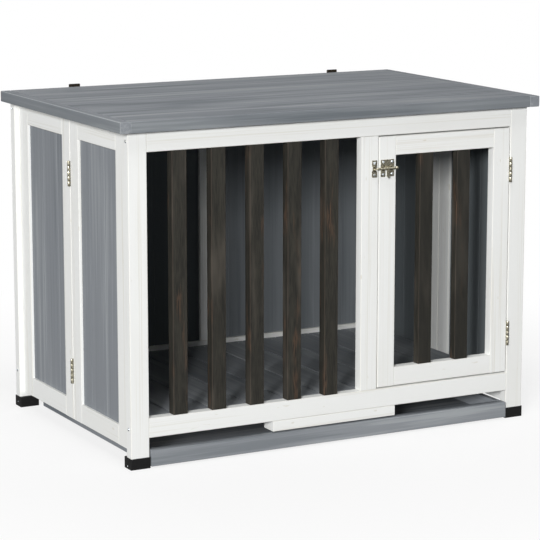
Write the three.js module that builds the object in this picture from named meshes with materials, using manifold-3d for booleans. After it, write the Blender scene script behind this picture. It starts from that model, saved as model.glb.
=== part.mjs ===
// Dog crate end table: a slatted wooden crate with a hinged door, a hinged table top,
// a lift-out floor and a tray that slides out below it.
// Millimetres, +Z up, +X to the right of someone who faces the door, +Y from the front to the rear.
// The pieces are laid out from the crate's middle plane (X), the front face of the posts (Y)
// and the ground (Z); the last lines move the origin to the bottom centre of the whole object.
import * as THREE from 'three';
import { mergeVertices } from 'three/addons/utils/BufferGeometryUtils.js';
import Module from 'manifold-3d';

const wasm = await Module();
wasm.setup();

// ---- Driving dimensions ----

// Crate frame
const crateWidth = 812;            // over the outer faces of the posts
const crateDepth = 532;            // over the front and rear faces of the posts
const frameTop = 590;              // top of the posts and top rails
const timberWide = 35;             // wide face of the white timber
const timberThick = 19;            // its thickness
const easedEdge = 1.2;             // radius of the timber's long edges
const edgeSegments = 2;            // facets on such an edge
const rodSegments = 16;            // facets round a pin, barrel or rod
const cutOver = 1;                 // how far a cutting solid runs past what it cuts
const jointGap = 0.2;              // glue line between fixed members
const bottomRailRise = 54;         // underside of the bottom rails above the ground
const bayWidth = 423.5;            // opening left of the door jamb

// Infill bars
const bayBarCount = 5;
const doorBarCount = 2;
const barWidth = 28;
const doorBarDepth = 16.5;

// Block under the front bottom rail
const blockLength = 253.5;

// Feet
const footHeight = 20;
const footWall = 1.2;
const footFit = 0.3;               // play of the post in its cap
const footFloor = 3;
const footLedge = 7.2;             // thick wall on the side towards the crate's middle

// Side panels, two to a side, each a frame around a board
const panelThickness = 16;
const panelInset = 9.5;            // outer face of a panel behind the outer face of the posts
const panelRise = 28.5;            // underside above the ground
const panelTopPlay = 3;            // below the table top
const panelPostPlay = 0.3;
const panelRailHeight = 36;
const panelMidStile = 35.4;
const panelEndStiles = [54, 42];   // stiles beside the posts, of the wide and the narrow panel
const panelSplitOffset = 6;        // hinge line off the middle of the side
const panelSplitGap = 1.6;

// Grey boards in grooves, made of upright strips
const boardThickness = 5;
const stripWidth = 65.3;
const boardSeamWidth = 1.4;        // V between two strips, on both faces
const boardSeamDepth = 0.8;
const grooveDepth = 5;
const grooveFit = 0.3;

// Floor
const floorTop = 80;
const floorPlank = 10;             // plank thickness
const floorPlankCount = 10;
const floorPlankGap = 2.6;
const floorPlay = 1;               // around the floor panel
const floorSidePlay = 2.5;
const floorBattenWidth = 30;
const floorBattenThick = 8;
const floorBattenBite = 0.5;       // into the planks
const floorBattenInset = 15;       // batten's middle from the end of the planks
const ledgeWidth = 15;
const restGap = 0.3;               // between a loose piece and what carries it

// Tray
const trayFootPlay = 0.8;          // between the tray and the feet that guide it
const trayProud = 4;               // front of the tray in front of the posts
const trayRise = 3;                // height of the glides under the tray
const trayTop = 32;
const trayFrontThick = 18;
const trayWall = 12;
const trayBottomThick = 3;
const trayRearPlay = 26;           // behind the tray, to the inner face of the rear posts
const trayGlideLength = 40;
const trayGlideInset = 30;

// Table top
const topSideOverhang = 19;
const topFrontOverhang = 12;
const topThickness = 20;
const topEndStrip = 20;
const topPlankCount = 6;
const topSeamWidth = 1.2;
const topSeamDepth = 0.8;
const topEdgeRadius = 2;

// Door
const doorLatchGap = 1.5;
const doorHingeGap = 2;
const doorEndGap = 2.5;            // above and below the door
const doorRailHeight = 34.5;

// Hinges
const hingeLength = 46;
const hingeKnuckles = 5;
const knuckleRadius = 2.5;
const knuckleGap = 0.4;
const pinRadius = 1.1;
const pinFit = 0.3;
const knuckleStandoff = 0.3;       // barrel off the timber
const buttLeafThick = 0.8;
const buttLeafDepth = 16;
const doorHingeInsets = [73.5, 77.5];   // middles above the door's bottom and below its top
const panelHingeInsets = [91.5, 102];   // the same on a side panel
const panelHingePlate = 1.2;
const lidHingeLength = 23;
const lidHingeKnuckles = 3;
const lidLeafThick = 1.5;
const lidLeafDepth = 26;
const lidHingeInsets = [132.4, 113.7];  // middles from the crate's left and right side
const plateGap = 0.1;              // behind screwed-on metal plates

// Barrel bolt
const boltDrop = 56.8;             // rod's axis below the top of the door
const boltPlateLeft = 2.7;         // plate's left end from the door's edge
const boltPlateWidth = 27.5;
const boltPlateHeight = 31;
const plateThick = 1.2;
const rodRadius = 2.4;
const rodFit = 0.25;
const rodPlay = 1.1;               // between the rod and the plate
const rodTip = 8.2;                // rod's tip beyond the door's edge, over the jamb
const rodLength = 42;              // from the tip to the middle of the ball end
const ballRadius = 3.3;
const strapWidth = 3.5;
const strapThick = 1.2;
const strapInsets = [1.3, 19.1];   // from the plate's left end
const leverInset = 22.9;           // lever's middle from the rod's tip
const leverWidth = 2.6;
const leverLength = 17.5;
const leverFit = 0.1;
const leverRing = 0.8;             // wall of the lever's ring on the rod
const keeperWidth = 10.3;
const keeperLeft = 15.6;           // keeper's left end from the door's edge
const keeperLoopInset = 1.1;
const keeperLoopWidth = 6;
const keeperFit = 0.8;

// ---- Places worked out from them ----

const crateLeft = -crateWidth / 2;
const crateRight = crateWidth / 2;
const innerLeft = crateLeft + timberWide;
const innerRight = crateRight - timberWide;
const rearInner = crateDepth - timberThick;
const bottomRailTop = bottomRailRise + timberWide;
const topRailBottom = frameTop - timberWide;
const jambLeft = innerLeft + bayWidth;
const jambRight = jambLeft + timberWide;
const doorLeft = jambRight + doorLatchGap;
const doorRight = innerRight - doorHingeGap;
const doorBottom = bottomRailTop + doorEndGap;
const doorTop = topRailBottom - doorEndGap;
const boltHeight = doorTop - boltDrop;
const rodDepth = -(plateGap + plateThick + rodPlay + rodRadius);

// ---- Finishes ----

const finish = (color, roughness, metalness = 0) =>
  new THREE.MeshStandardMaterial({ color, roughness, metalness });
const whitePaint = finish(0xf1f0ec, 0.6);
const greyStain = finish(0x80878d, 0.65);
const darkStain = finish(0x2e2b27, 0.6);
const blackPlastic = finish(0x232424, 0.5);
const nickel = finish(0xb9b3a6, 0.35, 1);
const blackSteel = finish(0x24211d, 0.45, 0.8);

const crate = new THREE.Group();

// ---- Helpers ----

function addMesh(parent, name, geometry, material, position = [0, 0, 0]) {
  const mesh = new THREE.Mesh(geometry, material);
  mesh.name = name;
  mesh.position.set(...position);
  parent.add(mesh);
  return mesh;
}

function roundedRectangle(width, height, radius) {
  const shape = new THREE.Shape();
  const x = width / 2 - radius;
  const y = height / 2 - radius;
  shape.absarc(x, y, radius, 0, Math.PI / 2);
  shape.absarc(-x, y, radius, Math.PI / 2, Math.PI);
  shape.absarc(-x, -y, radius, Math.PI, 1.5 * Math.PI);
  shape.absarc(x, -y, radius, 1.5 * Math.PI, 2 * Math.PI);
  return shape;
}

// A straight piece with eased long edges. x, y and z are [low, high]; grain is its long axis.
function timberGeometry({ x, y, z, grain, radius = easedEdge }) {
  const size = { x: x[1] - x[0], y: y[1] - y[0], z: z[1] - z[0] };
  const across = { x: [size.z, size.y], y: [size.x, size.z], z: [size.x, size.y] }[grain];
  const options = { depth: size[grain], bevelEnabled: false, curveSegments: edgeSegments };
  const geometry = new THREE.ExtrudeGeometry(roundedRectangle(...across, radius), options);
  geometry.translate(0, 0, -size[grain] / 2);
  if (grain === 'x') geometry.rotateY(Math.PI / 2);
  if (grain === 'y') geometry.rotateX(-Math.PI / 2);
  return geometry;
}

// A board of upright strips. Its width runs along axis 'x' or 'y'; whole strips are counted from its
// low end, or from its far end.
function addBoard(parent, name, box, axis, fromFar) {
  const width = box[axis][1] - box[axis][0];
  const half = boardThickness / 2;
  const seams = [];
  for (let at = stripWidth; at < width - boardSeamWidth; at += stripWidth) seams.push(at);
  const places = fromFar ? seams.map((at) => width - at).reverse() : seams;
  const shape = new THREE.Shape();
  shape.moveTo(-width / 2, -half);
  for (const side of [-1, 1]) {
    for (const at of side < 0 ? places : [...places].reverse()) {
      shape.lineTo(at - width / 2 + side * boardSeamWidth / 2, side * half);
      shape.lineTo(at - width / 2, side * (half - boardSeamDepth));
      shape.lineTo(at - width / 2 - side * boardSeamWidth / 2, side * half);
    }
    shape.lineTo(-side * width / 2, side * half);
    if (side < 0) shape.lineTo(width / 2, half);
  }
  const height = box.z[1] - box.z[0];
  const board = new THREE.ExtrudeGeometry(shape, { depth: height, bevelEnabled: false });
  board.translate(0, 0, -height / 2);
  if (axis === 'y') board.rotateZ(Math.PI / 2);
  return addMesh(parent, name, board, greyStain, middle(box));
}

const middle = ({ x, y, z }) => [(x[0] + x[1]) / 2, (y[0] + y[1]) / 2, (z[0] + z[1]) / 2];

function addTimber(parent, name, material, box) {
  return addMesh(parent, name, timberGeometry(box), material, middle(box));
}

function toSolid(geometry) {
  const plain = geometry.clone();
  plain.deleteAttribute('normal');
  plain.deleteAttribute('uv');
  const merged = mergeVertices(plain);
  return new wasm.Manifold(new wasm.Mesh({
    numProp: 3,
    vertProperties: merged.attributes.position.array,
    triVerts: new Uint32Array(merged.index.array),
  }));
}

function toGeometry(solid) {
  const { vertProperties, triVerts } = solid.getMesh();
  const geometry = new THREE.BufferGeometry();
  geometry.setAttribute('position', new THREE.BufferAttribute(vertProperties, 3));
  geometry.setIndex(new THREE.BufferAttribute(triVerts, 1));
  const flat = geometry.toNonIndexed();
  flat.computeVertexNormals();
  return flat;
}

const joined = (solids) => solids.reduce((whole, solid) => whole.add(solid));
const timberSolid = (box) => toSolid(timberGeometry(box).translate(...middle(box)));

function blockSolid({ x, y, z }) {
  const block = new THREE.BoxGeometry(x[1] - x[0], y[1] - y[0], z[1] - z[0]);
  return toSolid(block.translate(...middle({ x, y, z })));
}

// A cylinder along Z (or X), from low to high.
function rodSolid(radius, low, high, axis = 'z') {
  const rod = new THREE.CylinderGeometry(radius, radius, high - low, rodSegments);
  rod.translate(0, (low + high) / 2, 0);
  if (axis === 'z') rod.rotateX(Math.PI / 2);
  if (axis === 'x') rod.rotateZ(-Math.PI / 2);
  return toSolid(rod);
}

const grown = ([low, high], by) => [low - by, high + by];

// The groove that a board sits in.
function grooveFor(board) {
  return blockSolid({
    x: grown(board.x, grooveFit),
    y: grown(board.y, grooveFit),
    z: grown(board.z, grooveFit),
  });
}

function addGrooved(parent, name, box, boards) {
  const solid = boards.reduce((piece, board) => piece.subtract(grooveFor(board)), timberSolid(box));
  return addMesh(parent, name, toGeometry(solid), whitePaint);
}

// ---- Hinges ----

// Knuckle number i of a barrel along Z with its middle at the origin.
function knuckleSpan(i, count, length) {
  const pitch = (length + knuckleGap) / count;
  const low = -length / 2 + i * pitch;
  return [low, low + pitch - knuckleGap];
}

// One leaf of a hinge. The pin lies along Z; the plate spreads from it along +Y, at plateX.
function hingeLeaf({ length, knuckles, carriesPin, plateX, plateDepth }) {
  const indices = [...Array(knuckles).keys()];
  const isOwn = (i) => (i % 2 === 0) === carriesPin;
  let leaf = blockSolid({ x: plateX, y: [0, plateDepth], z: [-length / 2, length / 2] });
  for (const i of indices.filter((index) => !isOwn(index))) {
    const span = grown(knuckleSpan(i, knuckles, length), knuckleGap);
    leaf = leaf.subtract(rodSolid(knuckleRadius + knuckleStandoff, ...span));
  }
  for (const i of indices.filter(isOwn)) {
    leaf = leaf.add(rodSolid(knuckleRadius, ...knuckleSpan(i, knuckles, length)));
  }
  if (carriesPin) return leaf.add(rodSolid(pinRadius, -length / 2, length / 2));
  return leaf.subtract(rodSolid(pinRadius + pinFit, -length, length));
}

// The lower and the upper hinge of an upright, by their middles.
function hingePlaces(bottom, top, insets) {
  return [['lower', bottom + insets[0]], ['upper', top - insets[1]]];
}

// Both closed leaves and the barrel of a hinge that stays shut, as one solid.
function closedHinge() {
  const half = panelHingePlate / 2;
  const plate = { x: [-half, half], y: [0, buttLeafDepth], z: [-hingeLength / 2, hingeLength / 2] };
  const core = rodSolid(knuckleRadius - knuckleGap, -hingeLength / 2, hingeLength / 2);
  const barrel = [...Array(hingeKnuckles).keys()].map((i) =>
    rodSolid(knuckleRadius, ...knuckleSpan(i, hingeKnuckles, hingeLength)));
  return toGeometry(joined([blockSolid(plate), core, ...barrel]));
}

// ---- Crate frame ----

function addPostsAndFeet() {
  for (const [end, y, inward] of [['front', 0, 1], ['rear', rearInner, -1]]) {
    for (const [side, x] of [['left', crateLeft], ['right', innerRight]]) {
      const post = {
        x: [x, x + timberWide],
        y: [y, y + timberThick],
        z: [footFloor, frameTop],
        grain: 'z',
      };
      if (end === 'front') addTimber(crate, `${end}_${side}_post`, whitePaint, post);
      else addGrooved(crate, `${end}_${side}_post`, post, rearBoards());
      addFoot(`${end}_${side}_foot`, post, inward);
    }
  }
}

function addFoot(name, post, inward) {
  const wall = footFit + footWall;
  const ledge = footFit + footLedge;
  const shell = timberSolid({
    x: grown(post.x, wall),
    y: [post.y[0] - (inward > 0 ? wall : ledge), post.y[1] + (inward > 0 ? ledge : wall)],
    z: [0, footHeight],
    grain: 'z',
  });
  const pocket = blockSolid({
    x: grown(post.x, footFit),
    y: grown(post.y, footFit),
    z: [footFloor, footHeight + cutOver],
  });
  addMesh(crate, name, toGeometry(shell.subtract(pocket)), blackPlastic);
}

function addFrontFrame() {
  const between = [innerLeft + jointGap, innerRight - jointGap];
  const y = [0, timberThick];
  const topRail = { x: between, y, z: [topRailBottom, frameTop], grain: 'x' };
  const bottomRail = { x: between, y, z: [bottomRailRise, bottomRailTop], grain: 'x' };
  const upright = [bottomRailTop + jointGap, topRailBottom - jointGap];
  addTimber(crate, 'front_top_rail', whitePaint, topRail);
  addTimber(crate, 'front_bottom_rail', whitePaint, bottomRail);
  addTimber(crate, 'door_jamb', whitePaint, { x: [jambLeft, jambRight], y, z: upright, grain: 'z' });
  addBars(crate, 'bay_bar', bayBarCount, [innerLeft, jambLeft], y, upright);
  addTimber(crate, 'centre_block', whitePaint, {
    x: [-blockLength / 2, blockLength / 2],
    y: [0, timberWide],
    z: [bottomRailRise - jointGap - timberThick, bottomRailRise - jointGap],
    grain: 'x',
  });
}

// Bars spread evenly over an opening.
function addBars(parent, name, count, opening, y, z) {
  const gap = (opening[1] - opening[0] - count * barWidth) / (count + 1);
  for (let i = 0; i < count; i++) {
    const left = opening[0] + gap + i * (barWidth + gap);
    const bar = { x: [left, left + barWidth], y, z, grain: 'z' };
    addTimber(parent, `${name}_${i + 1}`, darkStain, bar);
  }
}

function rearBoards() {
  const face = rearInner + (timberThick - boardThickness) / 2;
  const stile = timberWide / 2;
  return [[innerLeft, -stile], [stile, innerRight]].map((opening) => ({
    x: grown(opening, grooveDepth),
    y: [face, face + boardThickness],
    z: grown([bottomRailTop, topRailBottom], grooveDepth),
  }));
}

function addRearFrame() {
  const boards = rearBoards();
  const between = [innerLeft + jointGap, innerRight - jointGap];
  const y = [rearInner, crateDepth];
  const topRail = { x: between, y, z: [topRailBottom, frameTop], grain: 'x' };
  const bottomRail = { x: between, y, z: [bottomRailRise, bottomRailTop], grain: 'x' };
  const stile = {
    x: [-timberWide / 2, timberWide / 2],
    y,
    z: [bottomRailTop + jointGap, topRailBottom - jointGap],
    grain: 'z',
  };
  addGrooved(crate, 'rear_top_rail', topRail, boards);
  addGrooved(crate, 'rear_bottom_rail', bottomRail, boards);
  addGrooved(crate, 'rear_centre_stile', stile, boards);
  addBoard(crate, 'rear_left_board', boards[0], 'x', false);
  addBoard(crate, 'rear_right_board', boards[1], 'x', true);
}

// ---- Side panels ----

// One side, laid out as the left one. names gives the front and the rear panel's place.
function sideAssembly(side, names) {
  const group = new THREE.Group();
  const outer = crateLeft + panelInset;
  const split = crateDepth / 2 + panelSplitOffset;
  const nearHinge = grown([split, split], panelSplitGap / 2);
  const ends = [timberThick + panelPostPlay, rearInner - panelPostPlay];
  const openings = [
    [ends[0] + panelEndStiles[0], nearHinge[0] - panelMidStile],
    [nearHinge[1] + panelMidStile, ends[1] - panelEndStiles[1]],
  ];
  addSidePanel(group, `${side}_${names[0]}`, outer, [ends[0], nearHinge[0]], openings[0], false);
  addSidePanel(group, `${side}_${names[1]}`, outer, [nearHinge[1], ends[1]], openings[1], true);
  const barrelAxis = outer - knuckleStandoff - knuckleRadius;
  const hinges = hingePlaces(panelRise, frameTop - panelTopPlay, panelHingeInsets);
  for (const [level, height] of hinges) {
    const hinge = addMesh(group, `${side}_${level}_panel_hinge`, closedHinge(), nickel,
      [barrelAxis, split, height]);
    hinge.rotation.z = -Math.PI / 2;
  }
  return group;
}

function addSidePanel(group, name, outer, y, opening, seamsFromFar) {
  const x = [outer, outer + panelThickness];
  const z = [panelRise, frameTop - panelTopPlay];
  const openingZ = [z[0] + panelRailHeight, z[1] - panelRailHeight];
  const face = outer + (panelThickness - boardThickness) / 2;
  const board = {
    x: [face, face + boardThickness],
    y: grown(opening, grooveDepth),
    z: grown(openingZ, grooveDepth),
  };
  const lap = easedEdge;
  const frame = joined([
    timberSolid({ x, y: [y[0], opening[0]], z, grain: 'z' }),
    timberSolid({ x, y: [opening[1], y[1]], z, grain: 'z' }),
    timberSolid({ x, y: grown(opening, lap), z: [z[0], openingZ[0]], grain: 'y' }),
    timberSolid({ x, y: grown(opening, lap), z: [openingZ[1], z[1]], grain: 'y' }),
  ]);
  addMesh(group, `${name}_panel_frame`, toGeometry(frame.subtract(grooveFor(board))), whitePaint);
  addBoard(group, `${name}_panel_board`, board, 'y', seamsFromFar);
}

function addSides() {
  const left = sideAssembly('left', ['front', 'rear']);
  const right = sideAssembly('right', ['rear', 'front']);
  right.rotation.z = Math.PI;
  right.position.y = crateDepth;
  crate.add(left, right);
}

// ---- Floor and its ledges ----

function addFloor() {
  const x = [crateLeft + panelInset + panelThickness + floorSidePlay,
    crateRight - panelInset - panelThickness - floorSidePlay];
  const y = [timberThick + floorPlay, rearInner - floorPlay];
  const underside = floorTop - floorPlank;
  const pitch = (x[1] - x[0] + floorPlankGap) / floorPlankCount;
  const planks = [...Array(floorPlankCount).keys()].map((i) => {
    const left = x[0] + i * pitch;
    return timberSolid({
      x: [left, left + pitch - floorPlankGap], y, z: [underside, floorTop], grain: 'y',
    });
  });
  const battens = [y[0] + floorBattenInset, y[1] - floorBattenInset].map((centre) =>
    blockSolid({
      x,
      y: [centre - floorBattenWidth / 2, centre + floorBattenWidth / 2],
      z: [underside - floorBattenThick, underside + floorBattenBite],
    }));
  addMesh(crate, 'floor_panel', toGeometry(joined([...planks, ...battens])), greyStain);
  for (const [end, low] of [['front', timberThick], ['rear', rearInner - ledgeWidth]]) {
    addTimber(crate, `${end}_floor_ledge`, whitePaint, {
      x: [innerLeft + jointGap, innerRight - jointGap],
      y: end === 'front' ? [low + jointGap, low + ledgeWidth] : [low, low + ledgeWidth - jointGap],
      z: [bottomRailRise, underside - floorBattenThick - restGap],
      grain: 'x',
    });
  }
}

// ---- Tray ----

function addTray() {
  const x = grown([innerLeft, innerRight], -(footFit + footWall + trayFootPlay));
  const frontBack = trayFrontThick - trayProud;
  const y = [frontBack + jointGap, rearInner - trayRearPlay];
  const z = [trayRise, trayTop];
  addTimber(crate, 'tray_front', greyStain, { x, y: [-trayProud, frontBack], z, grain: 'x' });
  const walls = [
    timberSolid({ x: [x[0], x[0] + trayWall], y, z, grain: 'y' }),
    timberSolid({ x: [x[1] - trayWall, x[1]], y, z, grain: 'y' }),
    timberSolid({ x: grown(x, -trayWall / 2), y: [y[1] - trayWall, y[1]], z, grain: 'x' }),
    blockSolid({ x: grown(x, -trayWall / 2), y: [y[0], y[1] - trayWall / 2],
      z: [z[0], z[0] + trayBottomThick] }),
  ];
  const glides = [];
  for (const glideX of [x[0] + trayGlideInset, x[1] - trayGlideInset - trayWall]) {
    for (const glideY of [y[0] + trayGlideInset, y[1] - trayGlideInset - trayGlideLength]) {
      glides.push(blockSolid({
        x: [glideX, glideX + trayWall], y: [glideY, glideY + trayGlideLength],
        z: [0, trayRise + trayBottomThick / 2],
      }));
    }
  }
  addMesh(crate, 'tray_box', toGeometry(joined([...walls, ...glides])), greyStain);
}

// ---- Table top and its hinges ----

// Section across the planks, with a shallow V between each two.
function topSection(depth) {
  const shape = new THREE.Shape();
  const r = topEdgeRadius;
  const plank = depth / topPlankCount;
  shape.moveTo(r, 0);
  shape.lineTo(depth - r, 0);
  shape.absarc(depth - r, r, r, -Math.PI / 2, 0);
  shape.absarc(depth - r, topThickness - r, r, 0, Math.PI / 2);
  for (let i = topPlankCount - 1; i > 0; i--) {
    shape.lineTo(i * plank + topSeamWidth / 2, topThickness);
    shape.lineTo(i * plank, topThickness - topSeamDepth);
    shape.lineTo(i * plank - topSeamWidth / 2, topThickness);
  }
  shape.absarc(r, topThickness - r, r, Math.PI / 2, Math.PI);
  shape.absarc(r, r, r, Math.PI, 1.5 * Math.PI);
  return shape;
}

function addTableTop() {
  const y = [-topFrontOverhang, crateDepth];
  const z = [frameTop + restGap, frameTop + restGap + topThickness];
  const half = crateWidth / 2 + topSideOverhang;
  const planksHalf = half - topEndStrip - jointGap;
  const planks = new THREE.ExtrudeGeometry(topSection(y[1] - y[0]),
    { depth: 2 * planksHalf, bevelEnabled: false, curveSegments: edgeSegments });
  // The section's X becomes +Y and its Y becomes +Z, so the planks run along +X.
  planks.applyMatrix4(new THREE.Matrix4().makeBasis(
    new THREE.Vector3(0, 1, 0), new THREE.Vector3(0, 0, 1), new THREE.Vector3(1, 0, 0)));
  addMesh(crate, 'top_planks', planks, greyStain, [-planksHalf, y[0], z[0]]);
  for (const [side, x] of [['left', [-half, topEndStrip - half]], ['right', [half - topEndStrip, half]]]) {
    const strip = { x, y, z, grain: 'y', radius: topEdgeRadius };
    addTimber(crate, `top_${side}_end_strip`, greyStain, strip);
  }
}

function addLidHinges() {
  const pinY = crateDepth + knuckleStandoff + knuckleRadius;
  const plate = [pinY - crateDepth - plateGap - lidLeafThick, pinY - crateDepth - plateGap];
  const shared = { length: lidHingeLength, knuckles: lidHingeKnuckles, plateDepth: lidLeafDepth };
  const frameLeaf = toGeometry(hingeLeaf({ ...shared, carriesPin: true, plateX: plate }));
  const lidLeaf = toGeometry(hingeLeaf({
    ...shared, carriesPin: false, plateX: [-plate[1], -plate[0]],
  }));
  const alongX = new THREE.Vector3(1, 0, 0);
  const down = new THREE.Vector3(0, 0, -1);
  const up = new THREE.Vector3(0, 0, 1);
  const turn = (spread) => new THREE.Quaternion().setFromRotationMatrix(
    new THREE.Matrix4().makeBasis(spread.clone().cross(alongX), spread, alongX));
  const centres = [['left', crateLeft + lidHingeInsets[0]], ['right', crateRight - lidHingeInsets[1]]];
  for (const [side, x] of centres) {
    const place = [x, pinY, frameTop];
    addMesh(crate, `${side}_lid_hinge_frame_leaf`, frameLeaf, blackSteel, place)
      .quaternion.copy(turn(down));
    addMesh(crate, `${side}_lid_hinge_lid_leaf`, lidLeaf, blackSteel, place)
      .quaternion.copy(turn(up));
  }
}

// ---- Door ----

function addDoor() {
  const y = [0, timberThick];
  const z = [doorBottom, doorTop];
  const inner = [doorLeft + timberWide, doorRight - timberWide];
  const between = grown(inner, -jointGap);
  const clear = [doorBottom + doorRailHeight, doorTop - doorRailHeight];
  addTimber(crate, 'door_latch_stile', whitePaint, { x: [doorLeft, inner[0]], y, z, grain: 'z' });
  addTimber(crate, 'door_hinge_stile', whitePaint, { x: [inner[1], doorRight], y, z, grain: 'z' });
  addTimber(crate, 'door_bottom_rail', whitePaint,
    { x: between, y, z: [doorBottom, clear[0]], grain: 'x' });
  addTimber(crate, 'door_top_rail', whitePaint, { x: between, y, z: [clear[1], doorTop], grain: 'x' });
  addBars(crate, 'door_bar', doorBarCount, inner, [0, doorBarDepth], grown(clear, -jointGap));
}

function addDoorHinges() {
  const shared = { length: hingeLength, knuckles: hingeKnuckles, plateDepth: buttLeafDepth };
  const near = doorHingeGap / 2 - plateGap - buttLeafThick;
  const plate = [near, near + buttLeafThick];
  const postLeaf = toGeometry(hingeLeaf({ ...shared, carriesPin: true, plateX: plate }));
  const doorLeaf = toGeometry(hingeLeaf({
    ...shared, carriesPin: false, plateX: [-plate[1], -plate[0]],
  }));
  for (const [level, height] of hingePlaces(doorBottom, doorTop, doorHingeInsets)) {
    const place = [innerRight - doorHingeGap / 2, -(knuckleStandoff + knuckleRadius), height];
    addMesh(crate, `${level}_door_hinge_post_leaf`, postLeaf, nickel, place);
    addMesh(crate, `${level}_door_hinge_door_leaf`, doorLeaf, nickel, place);
  }
}

// ---- Barrel bolt ----

// A bridge over the rod, from left to right: half a ring on two legs that stand on the plate.
function strapSolid(left, right, fit) {
  const inside = rodRadius + fit;
  const outside = inside + strapThick;
  const plateFace = rodRadius + rodPlay;
  const past = grown([left, right], cutOver);
  const ring = rodSolid(outside, left, right, 'x').subtract(blockSolid({
    x: past, y: [strapThick / 2, outside + cutOver], z: grown([-outside, outside], cutOver),
  }));
  const legs = blockSolid({
    x: [left, right], y: [0, plateFace + plateThick / 2], z: [-outside, outside],
  });
  const slot = blockSolid({ x: past, y: [0, plateFace], z: [-inside, inside] });
  return ring.add(legs).subtract(slot).subtract(rodSolid(inside, ...past, 'x'));
}

// A screw plate with bridges, in the rod's own frame: the rod lies along X through the origin.
function strappedPlate(width, straps, strapBreadth, fit) {
  const behindRod = rodRadius + rodPlay;
  const plate = blockSolid({
    x: [0, width],
    y: [behindRod, behindRod + plateThick],
    z: [-boltPlateHeight / 2, boltPlateHeight / 2],
  });
  const bridges = straps.map((left) => strapSolid(left, left + strapBreadth, fit));
  return toGeometry(joined([plate, ...bridges]));
}

function addBolt() {
  const tip = doorLeft - rodTip;
  const place = (x) => [x, rodDepth, boltHeight];
  addMesh(crate, 'bolt_plate', strappedPlate(boltPlateWidth, strapInsets, strapWidth, rodFit), nickel,
    place(doorLeft + boltPlateLeft));
  addMesh(crate, 'bolt_keeper',
    strappedPlate(keeperWidth, [keeperLoopInset], keeperLoopWidth, keeperFit), nickel,
    place(doorLeft - keeperLeft));
  const sphere = new THREE.SphereGeometry(ballRadius, rodSegments, rodSegments / 2);
  const ball = toSolid(sphere.translate(rodLength, 0, 0));
  addMesh(crate, 'bolt_rod', toGeometry(rodSolid(rodRadius, 0, rodLength, 'x').add(ball)), nickel,
    place(tip));
  addMesh(crate, 'bolt_lever', leverGeometry(), nickel, place(tip + leverInset));
}

// A ring on the rod with a tongue that hangs from it.
function leverGeometry() {
  const half = leverWidth / 2;
  const ring = rodSolid(rodRadius + leverFit + leverRing, -half, half, 'x');
  const tongue = timberSolid({
    x: [-half, half],
    y: [-rodRadius - leverRing, -rodRadius + leverRing],
    z: [-leverLength, 0],
    grain: 'z',
    radius: leverRing / 2,
  });
  const bore = rodSolid(rodRadius + leverFit, -half - cutOver, half + cutOver, 'x');
  return toGeometry(ring.add(tongue).subtract(bore));
}

// ---- Assembly ----

addPostsAndFeet();
addFrontFrame();
addRearFrame();
addSides();
addFloor();
addTray();
addTableTop();
addLidHinges();
addDoor();
addDoorHinges();
addBolt();

// The whole object reaches from the table top's front edge to the lid hinges' barrels.
const rearmost = crateDepth + knuckleStandoff + 2 * knuckleRadius;
crate.position.y = (topFrontOverhang - rearmost) / 2;

export default crate;
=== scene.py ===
"""Dog crate end table: the finished wood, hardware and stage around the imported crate.

Metres, +Z up, +X to the right of someone who faces the door, +Y from the front to the rear.
"""

import math

import bmesh
import bpy
from bpy.props import FloatProperty, FloatVectorProperty, PointerProperty
from mathutils import Matrix, Vector


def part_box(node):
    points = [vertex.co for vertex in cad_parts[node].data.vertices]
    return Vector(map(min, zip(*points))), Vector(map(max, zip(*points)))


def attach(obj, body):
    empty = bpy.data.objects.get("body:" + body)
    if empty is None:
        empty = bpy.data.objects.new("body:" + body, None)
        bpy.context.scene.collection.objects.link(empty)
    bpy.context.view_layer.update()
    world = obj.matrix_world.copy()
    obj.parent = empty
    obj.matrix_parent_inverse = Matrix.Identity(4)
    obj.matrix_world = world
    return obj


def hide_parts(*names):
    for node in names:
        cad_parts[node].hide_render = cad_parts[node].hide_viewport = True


bl_info = {
    "name": "Dog Crate End Table",
    "version": (1, 0, 0),
    "blender": (4, 5, 0),
    "location": "View3D > Sidebar > Crate",
    "description": "Dresses a slatted dog crate with a hinged table top",
    "category": "Add Mesh",
}

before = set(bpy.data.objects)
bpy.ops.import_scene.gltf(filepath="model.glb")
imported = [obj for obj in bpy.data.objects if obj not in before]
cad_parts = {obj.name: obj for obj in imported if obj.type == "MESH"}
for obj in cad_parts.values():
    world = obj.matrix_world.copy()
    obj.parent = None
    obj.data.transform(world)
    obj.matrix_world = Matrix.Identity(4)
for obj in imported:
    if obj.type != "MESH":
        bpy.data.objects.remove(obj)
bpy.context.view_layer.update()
X, Y, Z = 0, 1, 2
# How close counts as touching, in metres.
NEAR = 1e-5
SIDES = (("left", -1), ("right", 1))


# ---- Sizes and colours that a user may change ----


def length(name, text, default):
    """A length in metres."""
    return FloatProperty(name=name, description=text, default=default, min=0.0, unit="LENGTH",
                         precision=5)


def colour(name, text, red, green, blue):
    """A colour as it looks, from 0 to 255 a channel."""
    return FloatVectorProperty(name=name, description=text, size=3, subtype="COLOR_GAMMA",
                               default=(red / 255, green / 255, blue / 255), min=0.0, max=1.0)


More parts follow.
